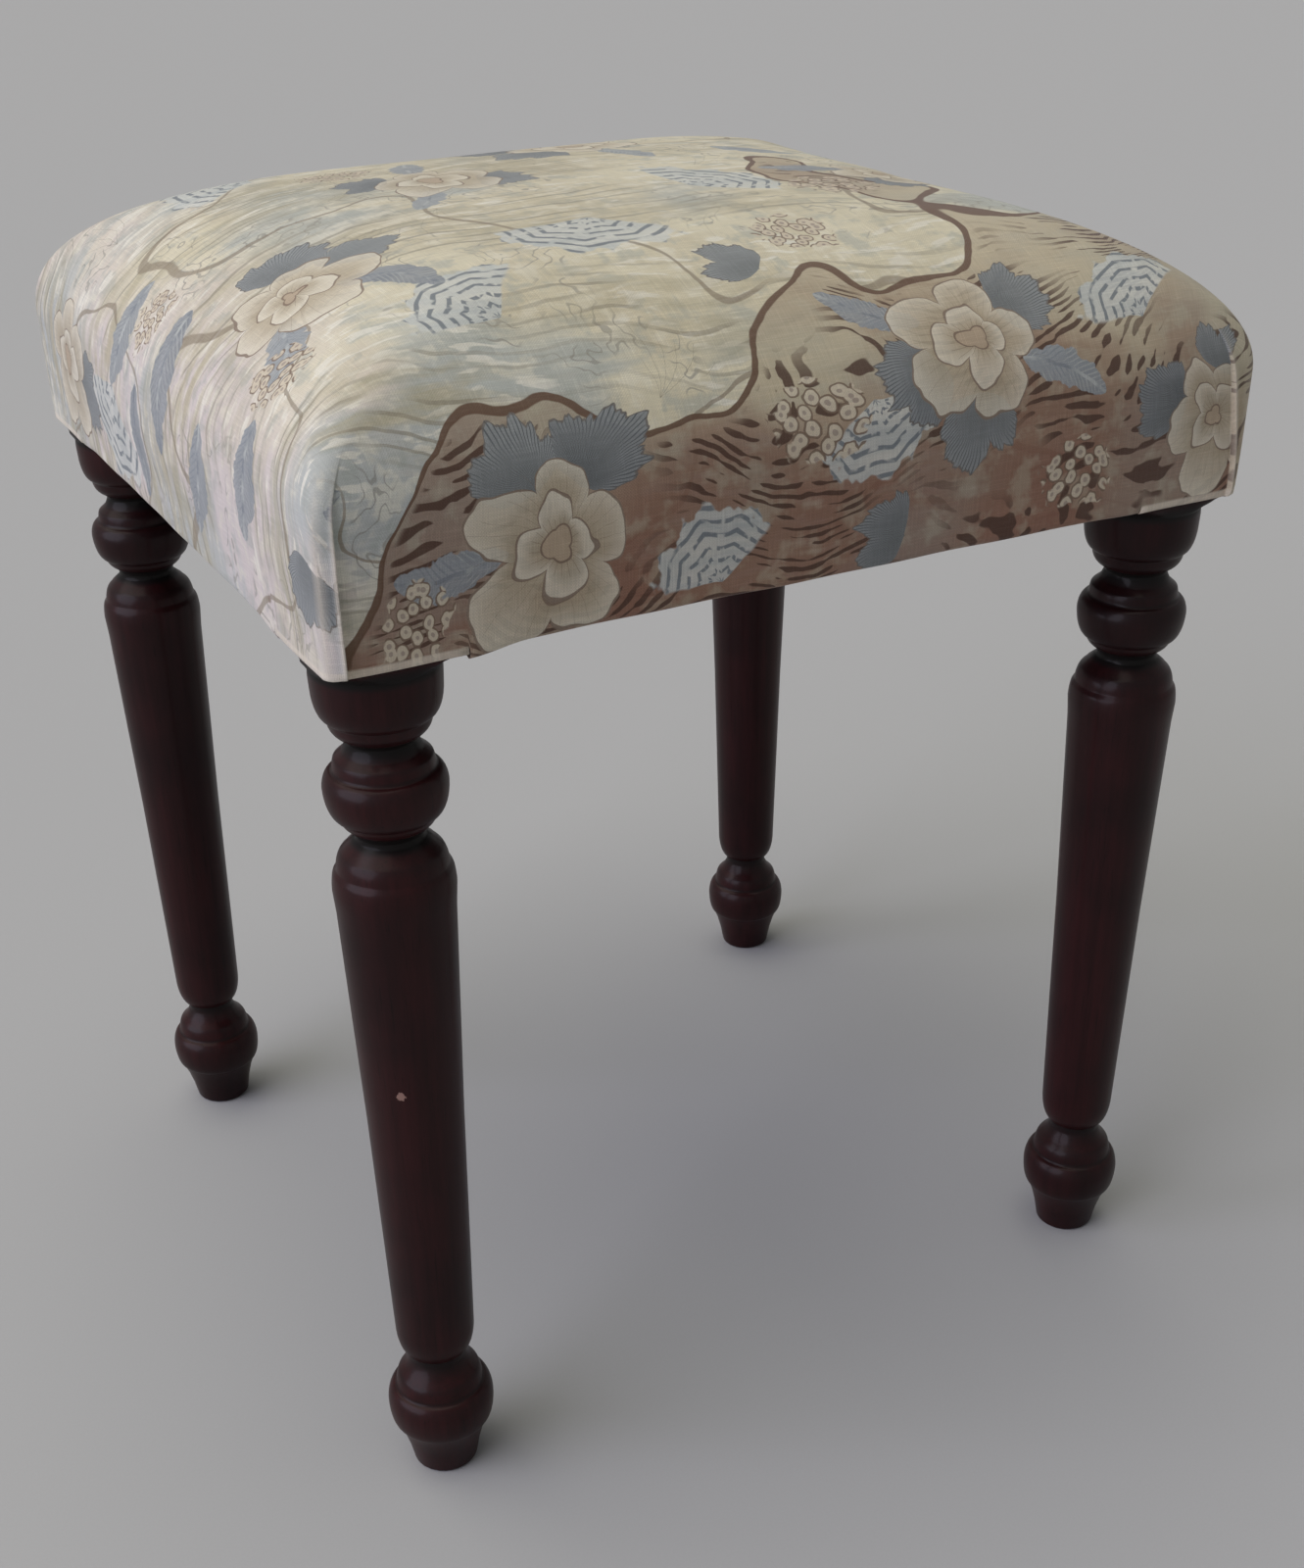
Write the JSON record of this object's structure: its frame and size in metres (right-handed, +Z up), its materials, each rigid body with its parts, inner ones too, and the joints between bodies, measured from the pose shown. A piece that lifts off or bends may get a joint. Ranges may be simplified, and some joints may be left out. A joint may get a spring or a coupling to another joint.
{
  "type": "upholstered stool",
  "caption": "Square upholstered stool: a crowned, boxed cloth seat over a dowelled rail frame, on dark turned wooden legs.",
  "frame": {"origin": "on the floor under the middle of the seat, the bottom centre of the whole stool", "axes": "+Z up, -Y towards the front rail, +X towards the right-hand rail"},
  "size_m": [0.3996, 0.3786, 0.5],
  "materials": {
    "dark_wood": "satin",
    "rail_wood": "matte",
    "dowel_wood": "matte",
    "steel": "satin",
    "blued_steel": "satin",
    "webbing": "matte",
    "hessian": "matte",
    "foam": "matte",
    "wadding": "matte",
    "printed_cloth": "matte",
    "black_cloth": "matte"
  },
  "bodies": {
    "root": {"brace_back_left": "rail_wood", "brace_back_right": "rail_wood", "brace_front_left": "rail_wood", "brace_front_right": "rail_wood", "brace_screw_back_left_to_back": "steel", "brace_screw_back_left_to_left": "steel", "brace_screw_back_right_to_back": "steel", "brace_screw_back_right_to_right": "steel", "brace_screw_front_left_to_front": "steel", "brace_screw_front_left_to_left": "steel", "brace_screw_front_right_to_front": "steel", "brace_screw_front_right_to_right": "steel", "dowel_back_rail_left_high": "dowel_wood", "dowel_back_rail_left_low": "dowel_wood", "dowel_back_rail_right_high": "dowel_wood", "dowel_back_rail_right_low": "dowel_wood", "dowel_front_rail_left_high": "dowel_wood", "dowel_front_rail_left_low": "dowel_wood", "dowel_front_rail_right_high": "dowel_wood", "dowel_front_rail_right_low": "dowel_wood", "dowel_left_rail_back_high": "dowel_wood", "dowel_left_rail_back_low": "dowel_wood", "dowel_left_rail_front_high": "dowel_wood", "dowel_left_rail_front_low": "dowel_wood", "dowel_right_rail_back_high": "dowel_wood", "dowel_right_rail_back_low": "dowel_wood", "dowel_right_rail_front_high": "dowel_wood", "dowel_right_rail_front_low": "dowel_wood", "dust_cover": "black_cloth", "hessian": "hessian", "leg_back_left": "dark_wood", "leg_back_right": "dark_wood", "leg_front_left": "dark_wood", "leg_front_right": "dark_wood", "rail_back": "rail_wood", "rail_front": "rail_wood", "rail_left": "rail_wood", "rail_right": "rail_wood", "seat_cover": "printed_cloth", "seat_foam": "foam", "seat_wadding": "wadding", "tack_back_a": "blued_steel", "tack_back_b": "blued_steel", "tack_back_c": "blued_steel", "tack_front_a": "blued_steel", "tack_front_b": "blued_steel", "tack_front_c": "blued_steel", "tack_left_a": "blued_steel", "tack_left_b": "blued_steel", "tack_left_c": "blued_steel", "tack_right_a": "blued_steel", "tack_right_b": "blued_steel", "tack_right_c": "blued_steel", "webbing_across_1": "webbing", "webbing_across_2": "webbing", "webbing_across_3": "webbing", "webbing_back_1": "webbing", "webbing_back_2": "webbing", "webbing_back_3": "webbing"}
  },
  "joints": []
}
